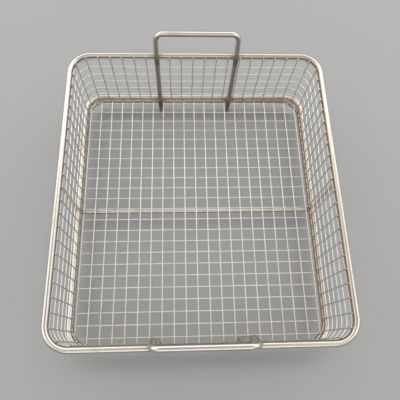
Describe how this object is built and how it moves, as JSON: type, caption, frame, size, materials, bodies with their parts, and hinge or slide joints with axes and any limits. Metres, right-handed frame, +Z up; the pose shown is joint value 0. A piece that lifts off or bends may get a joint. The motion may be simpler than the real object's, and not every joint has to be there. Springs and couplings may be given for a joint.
{
  "type": "autoclave basket",
  "caption": "Rectangular open-topped wire basket for a steam steriliser, of welded stainless mesh between round rod rims, with a raised floor and two fixed upright handles.",
  "frame": {"origin": "on the surface that the feet stand on, at the middle of the basket", "axes": "+Z up, X along the two handles, +Y towards the back handle"},
  "size_m": [0.2734, 0.3036, 0.1327],
  "materials": {
    "rod_steel": "electropolished",
    "wire_steel": "electropolished"
  },
  "bodies": {
    "root": {"rim": "rod_steel", "upper_floor_ring": "rod_steel", "lower_floor_ring": "rod_steel", "floor_bar": "rod_steel", "left_strut": "rod_steel", "right_strut": "rod_steel", "front_handle": "rod_steel", "back_handle": "rod_steel", "floor_long_wires": "wire_steel", "floor_cross_wires": "wire_steel", "wall_hoop_1": "wire_steel", "wall_hoop_2": "wire_steel", "wall_hoop_3": "wire_steel", "wall_hoop_4": "wire_steel", "wall_hoop_5": "wire_steel", "wall_hoop_6": "wire_steel", "back_uprights": "wire_steel", "back_left_corner_uprights": "wire_steel", "left_uprights": "wire_steel", "front_left_corner_uprights": "wire_steel", "front_uprights": "wire_steel", "front_right_corner_uprights": "wire_steel", "right_uprights": "wire_steel", "back_right_corner_uprights": "wire_steel"}
  },
  "joints": []
}
